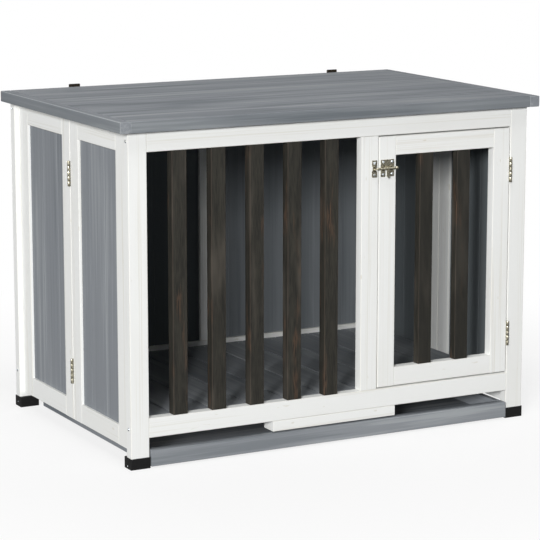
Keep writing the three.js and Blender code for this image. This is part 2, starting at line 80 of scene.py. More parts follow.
class CrateSizes(bpy.types.PropertyGroup):
    """Small sizes of the timber and the hardware."""

    timber_ease: length("Timber ease", "Radius of the long edges of the white timber", 0.0012)
    end_ease: length("End ease", "Chamfer round the end of a timber", 0.0004)
    bar_ease: length("Bar ease", "Radius of the long edges of a dark bar", 0.0013)
    top_ease: length("Top ease", "Radius of the outer edges of the table top", 0.0018)
    seam_ease: length("Seam ease", "Chamfer beside a seam between two strips or planks", 0.0007)
    strip_width: length("Strip width", "Width of an upright strip of the grey boards", 0.0653)
    groove_depth: length("Groove depth", "How far a grey board sits in its frame", 0.005)
    groove_fit: length("Groove fit", "Play of a grey board in its groove", 0.0003)
    floor_plank: length("Floor plank", "Thickness of a floor plank", 0.010)
    floor_gap: length("Floor gap", "Gap between two floor planks", 0.0026)
    batten_width: length("Batten width", "Width of a batten under the floor", 0.030)
    tray_wall: length("Tray wall", "Thickness of the tray's walls", 0.012)
    knuckle_radius: length("Knuckle radius", "Radius of a hinge barrel", 0.0025)
    knuckle_gap: length("Knuckle gap", "Gap between two knuckles of a hinge", 0.0004)
    leaf_thickness: length("Leaf thickness", "Thickness of a door hinge's leaf", 0.0008)
    screw_radius: length("Screw radius", "Radius of a countersunk screw head in the posts", 0.0032)
    nail_radius: length("Nail radius", "Radius of a nail head in the floor", 0.0017)


class CrateColours(bpy.types.PropertyGroup):
    """Colours of the finishes, as they look in plain light."""

    white_paint: colour("White paint", "Brushed paint on the frame", 241, 242, 240)
    paint_cream: colour("Paint, thin", "Where the paint is thin over the grain", 214, 210, 196)
    grey_stain: colour("Grey stain", "Stain on the top, boards, floor and tray", 134, 138, 143)
    grey_light: colour("Grey stain, thin", "Light streaks in the stain", 162, 166, 169)
    grey_dark: colour("Grey stain, deep", "Dark streaks in the stain", 101, 107, 113)
    # Painted shade: board faces inside the crate are darkened towards this colour, because the
    # inside lies in shade. It also darkens the outer sides of the table top.
    grey_painted_shade_and_dark_sides: colour("Grey stain, inside", "Inner faces of the boards", 98, 105, 107)
    dark_stain: colour("Dark stain", "Stain on the bars", 54, 52, 46)
    dark_deep: colour("Dark stain, deep", "Dark grain of the bars", 30, 29, 26)
    dark_worn: colour("Dark stain, thin", "Paler places on the bars", 82, 77, 70)
    dark_warm: colour("Dark stain, rubbed", "Red-brown places on the bars", 92, 70, 55)
    black_plastic: colour("Black plastic", "Moulded caps on the feet", 32, 32, 32)
    black_scuffed: colour("Black plastic, scuffed", "Rubbed places on the caps", 56, 56, 56)
    nickel: colour("Nickel", "Bolt, door hinges and side hinges", 196, 191, 172)
    nickel_dull: colour("Nickel, dull", "Tarnish on the nickel", 84, 77, 60)
    zinc: colour("Zinc", "Screws and nails", 214, 222, 232)
    bronze: colour("Blackened steel", "Lid hinges", 58, 50, 40)
    bronze_deep: colour("Blackened steel, deep", "Dark places on the lid hinges", 29, 27, 25)
    floor: colour("Studio floor", "Floor under the crate, as it is seen", 252, 252, 252)
    floor_bounce: colour("Floor bounce", "Floor as the crate's own light meets it", 140, 140, 140)


def watts(name, place, default):
    """The power of a lamp."""
    return FloatProperty(name=name, description=f"Watts of the lamp {place}", default=default,
                         min=0.0)


class CrateStage(bpy.types.PropertyGroup):
    """Camera and light."""

    camera_place: FloatVectorProperty(name="Camera", description="Where the camera stands", size=3,
                                      subtype="TRANSLATION", default=(-2.0117, -3.7862, 1.0924))
    camera_turn: FloatProperty(name="Camera turn",
                               description="To the right of straight at the rear",
                               default=math.radians(28.06), subtype="ANGLE")
    camera_drop: FloatProperty(name="Camera drop", description="Below the horizon",
                               default=math.radians(10.806), subtype="ANGLE")
    camera_lens: FloatProperty(name="Lens", description="Focal length in millimetres",
                               default=153.6)
    sky: FloatProperty(name="Sky", description="Strength of the even light", default=0.04, min=0.0)
    key: watts("Key", "at the front left", 1800.0)
    overhead: watts("Overhead", "above", 29.0)
    left: watts("Left", "at the left", 9.0)
    right: watts("Right", "at the right", 75.0)
    rear: watts("Rear", "at the rear", 72.0)


# ---- Modelling with Blender's own tools ----


def deselect_all():
    if bpy.context.mode != "OBJECT":
        bpy.ops.object.mode_set(mode="OBJECT")
    bpy.ops.object.select_all(action="DESELECT")


def select_only(piece):
    deselect_all()
    piece.select_set(True)
    bpy.context.view_layer.objects.active = piece


def apply_place(piece):
    """Moves the piece's place into its mesh, so that its object sits at the origin."""
    select_only(piece)
    bpy.ops.object.transform_apply(location=True, rotation=True, scale=True)
    return piece


def take_new(name):
    """The object that an operator has just added, under its own name."""
    piece = bpy.context.view_layer.objects.active
    piece.name = name
    piece.data.name = name
    return piece


def add_block(name, low, high):
    deselect_all()
    low = Vector(low)
    high = Vector(high)
    bpy.ops.mesh.primitive_cube_add(size=1, location=(low + high) / 2, scale=high - low)
    return apply_place(take_new(name))


def add_rod(name, radius, start, end, sides=24):
    """A round bar from start to end."""
    start = Vector(start)
    end = Vector(end)
    along = end - start
    deselect_all()
    bpy.ops.mesh.primitive_cylinder_add(vertices=sides, radius=radius, depth=along.length,
                                        location=(start + end) / 2,
                                        rotation=along.to_track_quat("Z", "Y").to_euler())
    return apply_place(take_new(name))


def pick(piece, kind, test):
    """Opens edit mode with only those edges or faces selected that pass test(middle, direction)."""
    select_only(piece)
    bpy.ops.object.mode_set(mode="EDIT")
    bpy.ops.mesh.select_mode(type=kind)
    bpy.ops.mesh.select_all(action="DESELECT")
    mesh = bmesh.from_edit_mesh(piece.data)
    for edge in mesh.edges if kind == "EDGE" else ():
        first, second = (corner.co for corner in edge.verts)
        if test((first + second) / 2, (second - first).normalized()):
            edge.select_set(True)
    for face in mesh.faces if kind == "FACE" else ():
        if test(face.calc_center_median(), face.normal):
            face.select_set(True)
    mesh.select_flush_mode()
    bmesh.update_edit_mesh(piece.data)


def close_edit():
    bpy.ops.object.mode_set(mode="OBJECT")


def runs_along(axis):
    """A test for the edges that run along an axis."""
    return lambda middle, along: abs(along[axis]) > 0.9


def runs_across(axis):
    """A test for the edges that run square to an axis."""
    return lambda middle, along: abs(along[axis]) < 0.1


def bevel_edges(piece, test, width, segments, material=-1):
    """Rounds the edges that pass the test. The new faces take a material by its number."""
    pick(piece, "EDGE", test)
    bpy.ops.mesh.bevel(offset=width, segments=segments, affect="EDGES", material=material,
                       clamp_overlap=True)
    close_edit()


def apply_modifier(piece, kind, **settings):
    select_only(piece)
    modifier = piece.modifiers.new(kind.title(), kind)
    for key, value in settings.items():
        setattr(modifier, key, value)
    bpy.ops.object.modifier_apply(modifier=modifier.name)


def cut_away(piece, cutter):
    """Cuts a block out of the piece and throws the block away."""
    apply_modifier(piece, "BOOLEAN", operation="DIFFERENCE", object=cutter, solver="EXACT")
    bpy.data.objects.remove(cutter)


def join_pieces(pieces, name):
    """One object made of the pieces."""
    deselect_all()
    for piece in pieces:
        piece.select_set(True)
    bpy.context.view_layer.objects.active = pieces[0]
    if len(pieces) > 1:
        bpy.ops.object.join()
    return take_new(name)


def smooth_faces(piece):
    select_only(piece)
    bpy.ops.object.shade_smooth_by_angle(angle=math.radians(40))


def weigh_normals(piece):
    """Smooth rounded edges between faces that stay flat."""
    smooth_faces(piece)
    apply_modifier(piece, "WEIGHTED_NORMAL", keep_sharp=True)


def copy_piece(piece, name, matrix):
    """A copy with a mesh of its own, placed by the matrix."""
    copy = piece.copy()
    copy.data = piece.data.copy()
    copy.name = name
    copy.data.name = name
    bpy.context.scene.collection.objects.link(copy)
    copy.matrix_world = matrix
    return apply_place(copy)


def settle(piece, body, slot, *nodes):
    """The piece rides on a body and stands for the CAD nodes. Its slot is not used."""
    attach(piece, body)
    if nodes:
        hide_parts(*nodes)
    return piece


# ---- Materials ----


class Socket:
    """One output of a material's nodes. Arithmetic on a number adds Math nodes."""

    def __init__(self, finish, socket):
        self.finish = finish
        self.socket = socket

    def maths(self, operation, first, second):
        return self.finish.node("ShaderNodeMath", {"operation": operation}, {0: first, 1: second})

    def __add__(self, other):
        return self.maths("ADD", self, other)

    def __radd__(self, other):
        return self.maths("ADD", other, self)

    def __sub__(self, other):
        return self.maths("SUBTRACT", self, other)

    def __rsub__(self, other):
        return self.maths("SUBTRACT", other, self)

    def __mul__(self, other):
        return self.maths("MULTIPLY", self, other)

    def __rmul__(self, other):
        return self.maths("MULTIPLY", other, self)


# Where a Mix node keeps its two colours, and the colour that it gives.
MIX_LOW, MIX_HIGH, MIX_RESULT = 6, 7, 2
# How far a piece's own number shifts its pattern along X, Y and Z, so that no two look the same.
PIECE_SHIFT = (7.3, 3.1, 5.7)


class Finish:
    """A material or a world put together from nodes."""

    def __init__(self, owner):
        owner.use_nodes = True
        self.owner = owner
        self.tree = owner.node_tree
        self.tree.nodes.clear()

    def node(self, kind, settings=None, inputs=None, output=0):
        node = self.tree.nodes.new(kind)
        for key, value in (settings or {}).items():
            setattr(node, key, value)
        for key, value in (inputs or {}).items():
            if isinstance(value, Socket):
                self.tree.links.new(value.socket, node.inputs[key])
            else:
                node.inputs[key].default_value = value
        return Socket(self, node.outputs[output] if node.outputs else None)

    def blend(self, low, high, share):
        """A colour between two, by a share from 0 to 1."""
        inputs = {0: share, MIX_LOW: low, MIX_HIGH: high}
        return self.node("ShaderNodeMix", {"data_type": "RGBA"}, inputs, MIX_RESULT)

    def spread(self, value, low, high, start=0.0, end=1.0):
        """The value's stretch from low to high, taken to start to end."""
        inputs = {"Value": value, "From Min": low, "From Max": high, "To Min": start, "To Max": end}
        return self.node("ShaderNodeMapRange", {"interpolation_type": "SMOOTHSTEP"}, inputs)

    def place(self):
        """Object coordinates."""
        return self.node("ShaderNodeTexCoord", output="Object")

    def chance(self):
        """A number from 0 to 1, another for each piece."""
        return self.node("ShaderNodeObjectInfo", output="Random")

    def grain_space(self, axis, along, across):
        """Object coordinates, shifted for each piece and drawn out along the grain."""
        chance = self.chance()
        shift = self.node("ShaderNodeCombineXYZ", {},
                          {number: chance * step for number, step in enumerate(PIECE_SHIFT)})
        moved = self.node("ShaderNodeVectorMath", {"operation": "ADD"},
                          {0: self.place(), 1: shift})
        scale = [across, across, across]
        scale[axis] = along
        return self.node("ShaderNodeMapping", {}, {"Vector": moved, "Scale": scale})

    def noise(self, vector, detail=3.0, roughness=0.5, distortion=0.0, scale=1.0):
        inputs = {"Vector": vector, "Scale": scale, "Detail": detail, "Roughness": roughness,
                  "Distortion": distortion}
        return self.node("ShaderNodeTexNoise", {}, inputs)

    def grain(self, axis, along, across, **settings):
        """Noise drawn out along the grain, with so many marks to a metre along and across it."""
        return self.noise(self.grain_space(axis, along, across), **settings)

    def bump(self, height, distance, strength=1.0):
        return self.node("ShaderNodeBump", {}, {"Height": height, "Distance": distance,
                                                "Strength": strength})

    def surface(self, base, roughness, normal, metallic=0.0, specular=0.5):
        """Ends the material in a Principled shader."""
        inputs = {"Base Color": base, "Roughness": roughness, "Metallic": metallic,
                  "Specular IOR Level": specular, "Normal": normal}
        shader = self.node("ShaderNodeBsdfPrincipled", {}, inputs)
        self.node("ShaderNodeOutputMaterial", {}, {"Surface": shader})
        return self.owner


def linear(channel):
    if channel <= 0.04045:
        return channel / 12.92
    return ((channel + 0.055) / 1.055) ** 2.4


def shown(name):
    """A colour of the settings as it looks, as the four linear numbers that a shader takes."""
    return [linear(channel) for channel in getattr(bpy.context.scene.crate_colours, name)] + [1.0]


def sizes():
    return bpy.context.scene.crate_sizes


def white_paint(finish, axis, wear_and_painted_light):
    """Brushed white paint over softwood. The grain shows as fine lines, and edges are rubbed."""
    fibre = finish.grain(axis, 2.5, 420, detail=2.0)
    streak = finish.grain(axis, 1.6, 70, detail=3.0)
    cloud = finish.grain(axis, 4, 16, detail=2.0)
    mark = finish.grain(axis, 45, 130, detail=1.0)
    lines = finish.spread(fibre, 0.50, 0.62) * finish.spread(streak, 0.46, 0.60)
    marks = finish.spread(mark, 0.74, 0.80)
    thin = lines * 0.32 + finish.spread(cloud, 0.40, 0.75) * 0.10 + marks * 0.5 + wear_and_painted_light
    paint = finish.blend(shown("white_paint"), shown("paint_cream"), thin)
    height = 1 - lines * 0.6 - marks
    return finish.surface(paint, 0.5 + lines * 0.2, finish.bump(height, 0.0003, 0.35),
                          specular=0.3)


# How strongly the streaks of the grey stain show, by the grain's axis.
STREAKS = {X: 1.2, Y: 0.8, Z: 0.62}


def grey_stain(finish, axis, wear_and_painted_light):
    """Blue-grey stain that leaves the streaks and rings of the softwood to see."""
    fibre = finish.grain(axis, 4, 420, detail=3.0)
    streak = finish.grain(axis, 1.6, 130, detail=4.0, roughness=0.65)
    broad = finish.grain(axis, 2.2, 14, detail=2.0, distortion=0.6)
    band = finish.grain(axis, 2.4, 55, detail=3.0, roughness=0.6)
    rings = finish.node("ShaderNodeTexWave", {"wave_type": "BANDS", "bands_direction": "DIAGONAL"},
                        {"Vector": finish.grain_space(axis, 0.9, 34), "Scale": 1.0,
                         "Distortion": 5.0, "Detail": 2.0, "Detail Scale": 1.2}, "Fac")
    tone = finish.spread(streak, 0.30, 0.70, -0.5, 0.5) + finish.spread(broad, 0.3, 0.7, -0.5, 0.5)
    tone = tone + (fibre - 0.5) * 1.2 + (finish.chance() - 0.5) * 0.6 + (rings - 0.5) * 0.2
    tone = (tone + finish.spread(band, 0.35, 0.65, -0.4, 0.4)) * STREAKS[axis]
    dark = finish.blend(shown("grey_stain"), shown("grey_dark"),
                        finish.spread(tone, 0.05, 1.1, 0.0, 0.75))
    # Lighter streaks, plus the face kind's lightening: rubbed edges, the paler tray front, and
    # painted light on the floor planks' tops.
    light = finish.spread(tone, -0.05, -1.1, 0.0, 0.7) + max(wear_and_painted_light, 0)
    stain = finish.blend(dark, shown("grey_light"), light)
    # Painted shade on board faces inside the crate, and the darker outer sides of the table top.
    stain = finish.blend(stain, shown("grey_painted_shade_and_dark_sides"), max(-wear_and_painted_light, 0))
    height = fibre * 0.5 + streak * 0.5
    return finish.surface(stain, 0.68 + (streak - 0.5) * 0.2, finish.bump(height, 0.0004, 0.3),
                          specular=0.12)


def dark_stain(finish, axis, wear_and_painted_light):
    """Dark brown stain on the bars, with fine grain and red-brown rubbed places."""
    fibre = finish.grain(axis, 45, 700, detail=3.0)
    streak = finish.grain(axis, 6, 110, detail=4.0, roughness=0.65)
    rub = finish.grain(axis, 8, 40, detail=3.0)
    patch = finish.grain(axis, 5, 28, detail=3.0)
    lines = finish.spread(fibre, 0.38, 0.62)
    stain = finish.blend(shown("dark_deep"), shown("dark_stain"),
                         lines * 0.6 + finish.spread(streak, 0.35, 0.65) * 0.4)
    warm = finish.spread(rub, 0.56, 0.70) * lines * 0.7 + max(wear_and_painted_light, 0)
    stain = finish.blend(stain, shown("dark_worn"), finish.spread(patch, 0.48, 0.70, 0, 0.6))
    stain = finish.blend(stain, shown("dark_warm"), warm)
    # Darker faces, such as the door bars' fronts.
    stain = finish.blend(stain, shown("dark_deep"), max(-wear_and_painted_light, 0))
    return finish.surface(stain, 0.6 + lines * 0.15, finish.bump(fibre, 0.0003, 0.4),
                          specular=0.25)


def black_plastic(finish):
    """Moulded plastic, scuffed in places."""
    texture = finish.noise(finish.place(), scale=900, detail=2.0)
    scuff = finish.spread(finish.noise(finish.place(), scale=60, detail=4.0), 0.6, 0.75)
    plastic = finish.blend(shown("black_plastic"), shown("black_scuffed"), scuff * 0.6)
    return finish.surface(plastic, 0.5 + scuff * 0.2, finish.bump(texture, 0.0002, 0.3),
                          specular=0.1)


def worn_metal(finish, bright, dull, roughness, metallic):
    """Plated steel with patches of tarnish."""
    patch = finish.spread(finish.noise(finish.place(), scale=330, detail=4.0), 0.42, 0.66)
    fine = finish.noise(finish.place(), scale=1400, detail=2.0)
    metal = finish.blend(shown(bright), shown(dull), patch * 0.85)
    return finish.surface(metal, roughness + patch * 0.2, finish.bump(fine, 0.0001, 0.25),
                          metallic=metallic)


# Each metal's bright and dull colours, its roughness and how metallic it is.
METALS = {
    "nickel": ("nickel", "nickel_dull", 0.28, 1.0),
    "zinc": ("zinc", "nickel", 0.25, 1.0),
    "black_steel": ("bronze", "bronze_deep", 0.35, 0.8),
}
FINISHES = {"white_paint": white_paint, "grey_stain": grey_stain, "dark_stain": dark_stain}
# How far each kind of face is made lighter (above 0) or darker (below 0): rubbed edges and a paler
# tray front; painted light on the floor planks' tops; painted shade on board faces inside the
# crate; darker door bar fronts and outer sides of the top.
WEAR_AND_PAINTED_LIGHT = {
    "white_paint": {"face": 0.0, "edge": 0.22},
    "grey_stain": {"face": 0.0, "edge": 0.10, "rubbed": 0.75, "pale": 0.25, "inner": -0.80,
                   "side": -0.30, "dim": -0.40},
    "dark_stain": {"face": 0.0, "edge": 0.12, "deep": -0.50},
}


def new_finish(name):
    return Finish(bpy.data.materials.new(name))


def wood_finish(slot, axis, kind):
    """The finish of one kind of face, for timber with its grain along an axis."""
    name = f"{slot}_{'xyz'[axis]}_{kind}"
    known = bpy.data.materials.get(name)
    return known or FINISHES[slot](new_finish(name), axis, WEAR_AND_PAINTED_LIGHT[slot][kind])


def refinish(piece, slot, axis, kind, outward):
    """Gives another kind of finish to the faces that look outward."""
    piece.data.materials.append(wood_finish(slot, axis, kind))
    number = len(piece.data.materials) - 1
    for face in piece.data.polygons:
        if face.normal.dot(Vector(outward)) > 0.9:
            face.material_index = number


def small_finish(slot):
    """The finish of the hardware and the foot caps."""
    name = f"{slot}_finish"
    known = bpy.data.materials.get(name)
    if known:
        return known
    if slot == "black_plastic":
        return black_plastic(new_finish(name))
    return worn_metal(new_finish(name), *METALS[slot])


def paint_piece(piece, material):
    piece.data.materials.clear()
    piece.data.materials.append(material)


# ---- Timber ----


def cut_timber(name, low, high, axis, slot, ease=None, boards=(), edge="edge"):
    """A straight timber with rounded long edges, chamfered ends and grooves for boards."""
    ease = sizes().timber_ease if ease is None else ease
    timber = add_block(name, low, high)
    timber.data.materials.append(wood_finish(slot, axis, "face"))
    timber.data.materials.append(wood_finish(slot, axis, edge))
    bevel_edges(timber, runs_along(axis), ease, segments=3, material=1)
    ends = (low[axis], high[axis])
    bevel_edges(timber, lambda middle, along: any(abs(middle[axis] - end) < NEAR for end in ends),
                sizes().end_ease, segments=1, material=1)
    for board in boards:
        board_low, board_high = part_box(board)
        fit = Vector([sizes().groove_fit] * 3)
        cut_away(timber, add_block("groove", board_low - fit, board_high + fit))
    weigh_normals(timber)
    return timber


def add_like_timbers(corners, size, axis, slot, body, nodes=(), **settings):
    """Timbers of one size, each with its name and lowest corner. One is cut, the others copied."""
    (name, first), *others = corners.items()
    first = Vector(first)
    timber = cut_timber(name, first, first + Vector(size), axis, slot, **settings)
    timbers = [timber] + [copy_piece(timber, other, Matrix.Translation(Vector(corner) - first))
                          for other, corner in others]
    return [settle(piece, body, slot, *nodes) for piece in timbers]


def dress_timber(node, axis, slot="white_paint", body="root", **settings):
    """A timber that stands for the CAD node of the same place."""
    low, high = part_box(node)
    timber = cut_timber(f"{node}_timber", low, high, axis, slot, **settings)
    return settle(timber, body, slot, node)


def row_of_strips(node, across, axis, body, starts, inward=None, kind="inner"):
    """The strips of a board, from one start to the next. Those of one width are cut once."""
    low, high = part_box(node)
    like = {}
    strips = []
    for number, (start, end) in enumerate(zip(starts, starts[1:]), 1):
        name = f"{node}_strip_{number}"
        width = round(end - start, 6)
        step = Vector((0, 0, 0))
        if width in like:
            first_start, first = like[width]
            step[across] = start - first_start
            strip = copy_piece(first, name, Matrix.Translation(step))
        else:
            strip_low = low.copy()
            strip_high = high.copy()
            strip_low[across] = start
            strip_high[across] = end
            strip = cut_timber(name, strip_low, strip_high, axis, "grey_stain",
                               ease=sizes().seam_ease)
            # Faces that look inward take painted shade by default, darker because the inside of the
            # crate lies in shade.
            if inward:
                refinish(strip, "grey_stain", axis, kind, inward)
            like[width] = (start, strip)
        strips.append(strip)
    for strip in strips:
        settle(strip, body, "grey_stain", node)
    return strips


def whole_strips(low, high, from_far):
    """Where strips of full width start, counted from the low end or from the far one."""
    width = sizes().strip_width
    count = int((high - low) / width)
    steps = [width * i for i in range(count + 1)]
    if from_far:
        return [low] + [high - step for step in reversed(steps)]
    return [low + step for step in steps] + [high]


# ---- Operators, one for each piece or group of like pieces ----


class CRATE_OT_frame_timbers(bpy.types.Operator):
    """Posts, rails, door jamb, centre block and floor ledges"""

    bl_idname = "crate.frame_timbers"
    bl_label = "Frame Timbers"

    def execute(self, context):
        rear_boards = ["rear_left_board", "rear_right_board"]
        for side in ("left", "right"):
            dress_timber(f"front_{side}_post", Z)
            dress_timber(f"rear_{side}_post", Z, boards=[f"rear_{side}_board"])
        for end, boards in (("front", []), ("rear", rear_boards)):
            dress_timber(f"{end}_top_rail", X, boards=boards)
            dress_timber(f"{end}_bottom_rail", X, boards=boards)
            dress_timber(f"{end}_floor_ledge", X)
        dress_timber("rear_centre_stile", Z, boards=rear_boards)
        dress_timber("door_jamb", Z)
        dress_timber("centre_block", X)
        return {"FINISHED"}


class CRATE_OT_bars(bpy.types.Operator):
    """Dark upright bars beside the door and in it"""

    bl_idname = "crate.bars"
    bl_label = "Bars"

    def execute(self, context):
        for body, names in (("root", "bay_bar"), ("door", "door_bar")):
            nodes = sorted(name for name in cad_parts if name.startswith(names))
            low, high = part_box(nodes[0])
            corners = {f"{node}_timber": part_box(node)[0] for node in nodes}
            bars = add_like_timbers(corners, high - low, Z, "dark_stain", body,
                                    ease=sizes().bar_ease)
            for node, bar in zip(nodes, bars):
                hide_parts(node)
                if body == "door":
                    # The door bars' front faces are made darker.
                    refinish(bar, "dark_stain", Z, "deep", (0, -1, 0))
        return {"FINISHED"}


class CRATE_OT_rear_boards(bpy.types.Operator):
    """Grey boards of the rear, in upright strips"""

    bl_idname = "crate.rear_boards"
    bl_label = "Rear Boards"

    def execute(self, context):
        # Inside faces take painted shade, lighter on the right board.
        for node, from_far, kind in (("rear_left_board", False, "inner"),
                                     ("rear_right_board", True, "dim")):
            low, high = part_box(node)
            starts = whole_strips(low.x, high.x, from_far)
            row_of_strips(node, X, Z, "root", starts, inward=(0, -1, 0), kind=kind)
        return {"FINISHED"}


class CRATE_OT_side_panels(bpy.types.Operator):
    """The four framed side panels, each of four timbers and a board of strips"""

    bl_idname = "crate.side_panels"
    bl_label = "Side Panels"
    joint_gap = 0.0001

    def execute(self, context):
        for side in ("left", "right"):
            for place in ("front", "rear"):
                self.add_panel(f"{side}_{place}", place == "rear")
        return {"FINISHED"}

    def add_panel(self, panel, from_far):
        node = f"{panel}_panel_frame"
        board = f"{panel}_panel_board"
        low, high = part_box(node)
        board_low, board_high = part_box(board)
        depth = sizes().groove_depth
        opening = (board_low.y + depth, board_high.y - depth)
        heights = (board_low.z + depth, board_high.z - depth)
        rail = (opening[0] + self.joint_gap, opening[1] - self.joint_gap)
        members = (
            ("front_stile", Z, (low.y, opening[0]), (low.z, high.z)),
            ("rear_stile", Z, (opening[1], high.y), (low.z, high.z)),
            ("bottom_rail", Y, rail, (low.z, heights[0])),
            ("top_rail", Y, rail, (heights[1], high.z)),
        )
        for name, axis, along, up in members:
            timber = cut_timber(f"{panel}_{name}", (low.x, along[0], up[0]),
                                (high.x, along[1], up[1]), axis, "white_paint", boards=[board])
            settle(timber, "root", "white_paint", node)
        # The boards' inside faces take painted shade.
        row_of_strips(board, Y, Z, "root", whole_strips(board_low.y, board_high.y, from_far),
                      inward=(1 if low.x < 0 else -1, 0, 0))


class CRATE_OT_table_top(bpy.types.Operator):
    """Six planks of the table top and the strip across each end"""

    bl_idname = "crate.table_top"
    bl_label = "Table Top"
    plank_count = 6

    def execute(self, context):
        low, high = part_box("top_planks")
        pitch = (high.y - low.y) / self.plank_count
        starts = [low.y + pitch * i for i in range(self.plank_count + 1)]
        planks = row_of_strips("top_planks", Y, X, "lid", starts)
        # The top's front face, and below each end strip's outer face, are made darker.
        refinish(planks[0], "grey_stain", X, "side", (0, -1, 0))
        for side, outward in SIDES:
            strip = dress_timber(f"top_{side}_end_strip", Y, "grey_stain", "lid",
                                 ease=sizes().top_ease, edge="rubbed")
            refinish(strip, "grey_stain", Y, "side", (outward, 0, 0))
        return {"FINISHED"}


class CRATE_OT_door(bpy.types.Operator):
    """Stiles and rails of the door"""

    bl_idname = "crate.door"
    bl_label = "Door"

    def execute(self, context):
        for node, axis in (("door_latch_stile", Z), ("door_hinge_stile", Z),
                           ("door_bottom_rail", X), ("door_top_rail", X)):
            dress_timber(node, axis, body="door")
        return {"FINISHED"}


class CRATE_OT_floor_panel(bpy.types.Operator):
    """Ten floor planks on two battens, with two nails to each crossing"""

    bl_idname = "crate.floor_panel"
    bl_label = "Floor Panel"
    plank_count = 10
    nail_offset = 0.022
    batten_inset = 0.015
    batten_gap = 0.00005

    def execute(self, context):
        low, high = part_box("floor_panel")
        thickness = sizes().floor_plank
        underside = high.z - thickness
        pitch = (high.x - low.x + sizes().floor_gap) / self.plank_count
        width = pitch - sizes().floor_gap
        lefts = [low.x + number * pitch for number in range(self.plank_count)]
        corners = {f"floor_plank_{number}": (left, low.y, underside)
                   for number, left in enumerate(lefts, 1)}
        for plank in add_like_timbers(corners, (width, high.y - low.y, thickness), Y, "grey_stain",
                                      "floor", ["floor_panel"], ease=0.0005):
            # Painted light: the planks' tops are made paler, standing in for light on the crate's
            # floor.
            refinish(plank, "grey_stain", Y, "pale", (0, 0, 1))
        battens = {"front": low.y + self.batten_inset, "rear": high.y - self.batten_inset}
        corners = {f"floor_{name}_batten": (low.x, middle - sizes().batten_width / 2, low.z)
                   for name, middle in battens.items()}
        size = (high.x - low.x, sizes().batten_width, underside - self.batten_gap - low.z)
        add_like_timbers(corners, size, X, "grey_stain", "floor", ["floor_panel"])
        nails = [(left + width / 2 + offset, middle, high.z) for left in lefts
                 for middle in battens.values() for offset in (-self.nail_offset, self.nail_offset)]
        add_heads("floor_nails", nails, Vector((0, 0, 1)), sizes().nail_radius, "floor")
        return {"FINISHED"}


class CRATE_OT_tray(bpy.types.Operator):
    """Tray under the floor: a front board, walls, bottom and glides"""

    bl_idname = "crate.tray"
    bl_label = "Tray"
    bottom_thickness = 0.003
    glide_length = 0.040
    glide_inset = 0.030
    glide_height = 0.003

    def execute(self, context):
        front = dress_timber("tray_front", X, "grey_stain", "tray")
        # Only its front face is made paler, as a tone of its own.
        refinish(front, "grey_stain", X, "pale", (0, -1, 0))
        low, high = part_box("tray_box")
        wall = sizes().tray_wall
        floor = low.z + self.glide_height
        height = high.z - floor
        left, right = low.x + wall, high.x - wall
        rear = high.y - wall
        lanes = {"left": low.x + self.glide_inset, "right": right - self.glide_inset}
        rows = {"front": low.y + self.glide_inset,
                "rear": high.y - self.glide_inset - self.glide_length}
        glides = {f"{side}_{place}_glide": (lane, row, low.z)
                  for side, lane in lanes.items() for place, row in rows.items()}
        for corners, size, axis, ease in (
            ({"left_wall": (low.x, low.y, floor), "right_wall": (right, low.y, floor)},
             (wall, high.y - low.y, height), Y, 0.0008),
            ({"rear_wall": (left, rear, floor)}, (right - left, wall, height), X, 0.0008),
            ({"bottom": (left, low.y, floor)},
             (right - left, rear - low.y, self.bottom_thickness), X, 0.0008),
            (glides, (wall, self.glide_length, self.glide_height), Y, 0.0005),
        ):
            corners = {f"tray_{name}": corner for name, corner in corners.items()}
            add_like_timbers(corners, size, axis, "grey_stain", "tray", ["tray_box"], ease=ease)
        return {"FINISHED"}


class CRATE_OT_feet(bpy.types.Operator):
    """Black caps on the feet, each with a nail"""

    bl_idname = "crate.feet"
    bl_label = "Feet"
    play = 0.0003
    nail_radius = 0.0015
    nail_height = {"front": 0.005, "rear": 0.009}

    def execute(self, context):
        for end, height in self.nail_height.items():
            for (side, outward), cap in zip(SIDES, self.cut_caps(end)):
                node = f"{end}_{side}_foot"
                settle(cap, "root", "black_plastic", node)
                low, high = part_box(node)
                face = low.x if outward < 0 else high.x
                add_heads(f"{node}_nail", [(face, (low.y + high.y) / 2, height)],
                          Vector((outward, 0, 0)), self.nail_radius, "root")
        return {"FINISHED"}

    def cut_caps(self, end):
        """The left cap with the pocket for its post, and a copy at the right."""
        low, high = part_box(f"{end}_left_foot")
        cap = add_block(f"{end}_left_foot_cap", low, high)
        bevel_edges(cap, runs_along(Z), width=0.0015, segments=3)
        bevel_edges(cap, lambda middle, along: abs(along.z) < 0.1 and middle.z < low.z + NEAR,
                    width=0.0008, segments=2)
        post_low, post_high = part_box(f"{end}_left_post")
        play = Vector((self.play, self.play, 0))
        cut_away(cap, add_block("pocket", post_low - play, post_high + play))
        paint_piece(cap, small_finish("black_plastic"))
        weigh_normals(cap)
        across = Matrix.Translation(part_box(f"{end}_right_foot")[0] - low)
        return cap, copy_piece(cap, f"{end}_right_foot_cap", across)


# Shares of a head's radius: its rise, and how far a slot reaches along and to each side.
HEAD_RISE = 0.28
SLOT_REACH = 0.62
SLOT_HALF_WIDTH = 0.13
# The share of a head's rise at which its slots end.
SLOT_BOTTOM = 0.3
# How far the first head is turned, and each next one from the one before, in radians.
FIRST_TURN = 0.4
NEXT_TURN = 0.7


